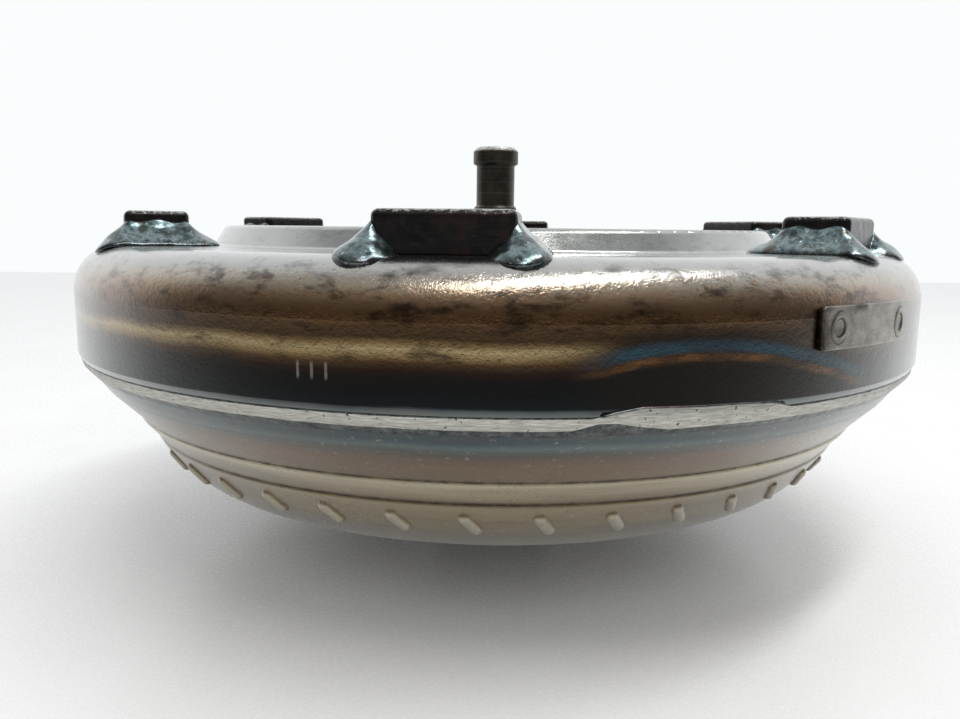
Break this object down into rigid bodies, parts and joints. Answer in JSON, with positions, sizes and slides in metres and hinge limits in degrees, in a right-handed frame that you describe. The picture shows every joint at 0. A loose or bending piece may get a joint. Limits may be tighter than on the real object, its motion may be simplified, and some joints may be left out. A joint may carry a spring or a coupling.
{
  "type": "torque converter",
  "caption": "Closed-housing hydraulic torque converter: pilot post, bolt-on drive lugs, welded cover and impeller, turbine, one-way stator and sprung lock-up clutch.",
  "frame": {"origin": "on the shaft axis, in the plane of the pump drive hub's end face, which is the lowest point and the bottom centre of the box", "axes": "+Z along the shaft axis from the pump drive hub to the pilot post on the engine side; the first drive lug is 5.2 degrees from -Y towards -X"},
  "size_m": [0.276, 0.276, 0.1333],
  "materials": {
    "cover_steel": "pressed steel, oily, with brown heat tint near the weld",
    "shell_steel": "pressed steel with straw and blue heat tint near the weld",
    "oxide_steel": "black-brown oxide, worn on the top edges",
    "machined_steel": "turned or ground bright",
    "weld_steel": "weld bead, glossy where unground",
    "weight_steel": "pale bare sheet steel",
    "pressed_steel": "pressed sheet steel, oily",
    "spring_steel": "oil-tempered spring wire",
    "bearing_steel": "hardened and ground",
    "cast_alloy": "as cast",
    "friction_paper": "paper-based friction material",
    "washer_resin": "moulded phenolic",
    "seal_resin": "filled PTFE"
  },
  "bodies": {
    "housing": {"front_cover": "cover_steel", "pilot": "oxide_steel", "lug_1": "oxide_steel", "lug_2": "oxide_steel", "lug_3": "oxide_steel", "lug_4": "oxide_steel", "lug_5": "oxide_steel", "lug_6": "oxide_steel", "lug_weld_1": "weld_steel", "lug_weld_2": "weld_steel", "lug_weld_3": "weld_steel", "lug_weld_4": "weld_steel", "lug_weld_5": "weld_steel", "lug_weld_6": "weld_steel", "balance_weight": "weight_steel", "closing_weld": "machined_steel", "impeller_shell": "shell_steel", "impeller_blades": "pressed_steel", "impeller_core_ring": "pressed_steel", "impeller_hub": "machined_steel", "impeller_hub_collar": "machined_steel", "rear_bearing_hub_race": "bearing_steel"},
    "turbine": {"turbine_shell": "pressed_steel", "turbine_blades": "pressed_steel", "turbine_core_ring": "pressed_steel", "turbine_hub": "machined_steel", "turbine_rivets": "pressed_steel", "driven_plate": "pressed_steel", "piston_seal_ring": "seal_resin", "turbine_thrust_washer": "washer_resin", "front_bearing_turbine_race": "bearing_steel"},
    "damper": {"damper_drive_plate": "pressed_steel", "damper_retainer_plate": "pressed_steel", "damper_stop_pins": "machined_steel", "damper_spring_1": "spring_steel", "damper_spring_2": "spring_steel", "damper_spring_3": "spring_steel", "damper_spring_4": "spring_steel", "damper_spring_5": "spring_steel", "damper_spring_6": "spring_steel"},
    "piston": {"lockup_piston": "pressed_steel", "friction_lining": "friction_paper"},
    "stator_race": {"stator_inner_race": "bearing_steel"},
    "stator": {"stator_wheel": "cast_alloy", "stator_outer_race": "bearing_steel", "clutch_rollers": "bearing_steel", "clutch_springs": "spring_steel", "stator_rear_cap": "cast_alloy", "stator_front_cap": "cast_alloy", "stator_snap_ring": "spring_steel", "rear_bearing_stator_race": "bearing_steel", "front_bearing_stator_race": "bearing_steel"},
    "rear_cage": {"rear_bearing_cage": "pressed_steel", "rear_bearing_needles": "bearing_steel"},
    "front_cage": {"front_bearing_cage": "pressed_steel", "front_bearing_needles": "bearing_steel"}
  },
  "joints": [
    {"name": "turbine_spin", "type": "hinge", "parent": "housing", "child": "turbine", "pos_m": [0, 0, 0.0626], "axis": [0, 0, 1], "continuous": true},
    {"name": "damper_twist", "type": "hinge", "parent": "turbine", "child": "damper", "pos_m": [0, 0, 0.083], "axis": [0, 0, 1], "range_deg": [-6, 6], "stiffness_Nm_per_rad": 600, "deforming": ["damper_spring_1", "damper_spring_2", "damper_spring_3", "damper_spring_4", "damper_spring_5", "damper_spring_6"]},
    {"name": "piston_apply", "type": "slide", "parent": "damper", "child": "piston", "axis": [0, 0, 1], "range_m": [0, 0.0007]},
    {"name": "stator_shaft_spin", "type": "hinge", "parent": "housing", "child": "stator_race", "pos_m": [0, 0, 0.042], "axis": [0, 0, 1], "continuous": true},
    {"name": "stator_freewheel", "type": "hinge", "parent": "stator_race", "child": "stator", "pos_m": [0, 0, 0.042], "axis": [0, 0, 1], "range_deg": [0, 360]},
    {"name": "rear_cage_spin", "type": "hinge", "parent": "housing", "child": "rear_cage", "pos_m": [0, 0, 0.0286], "axis": [0, 0, 1], "continuous": true},
    {"name": "front_cage_spin", "type": "hinge", "parent": "housing", "child": "front_cage", "pos_m": [0, 0, 0.0554], "axis": [0, 0, 1], "continuous": true}
  ],
  "couplings": [
    {"joint": "rear_cage_spin", "follows": "stator_shaft_spin", "ratio": 0.5},
    {"joint": "front_cage_spin", "follows": "turbine_spin", "ratio": 0.5}
  ]
}
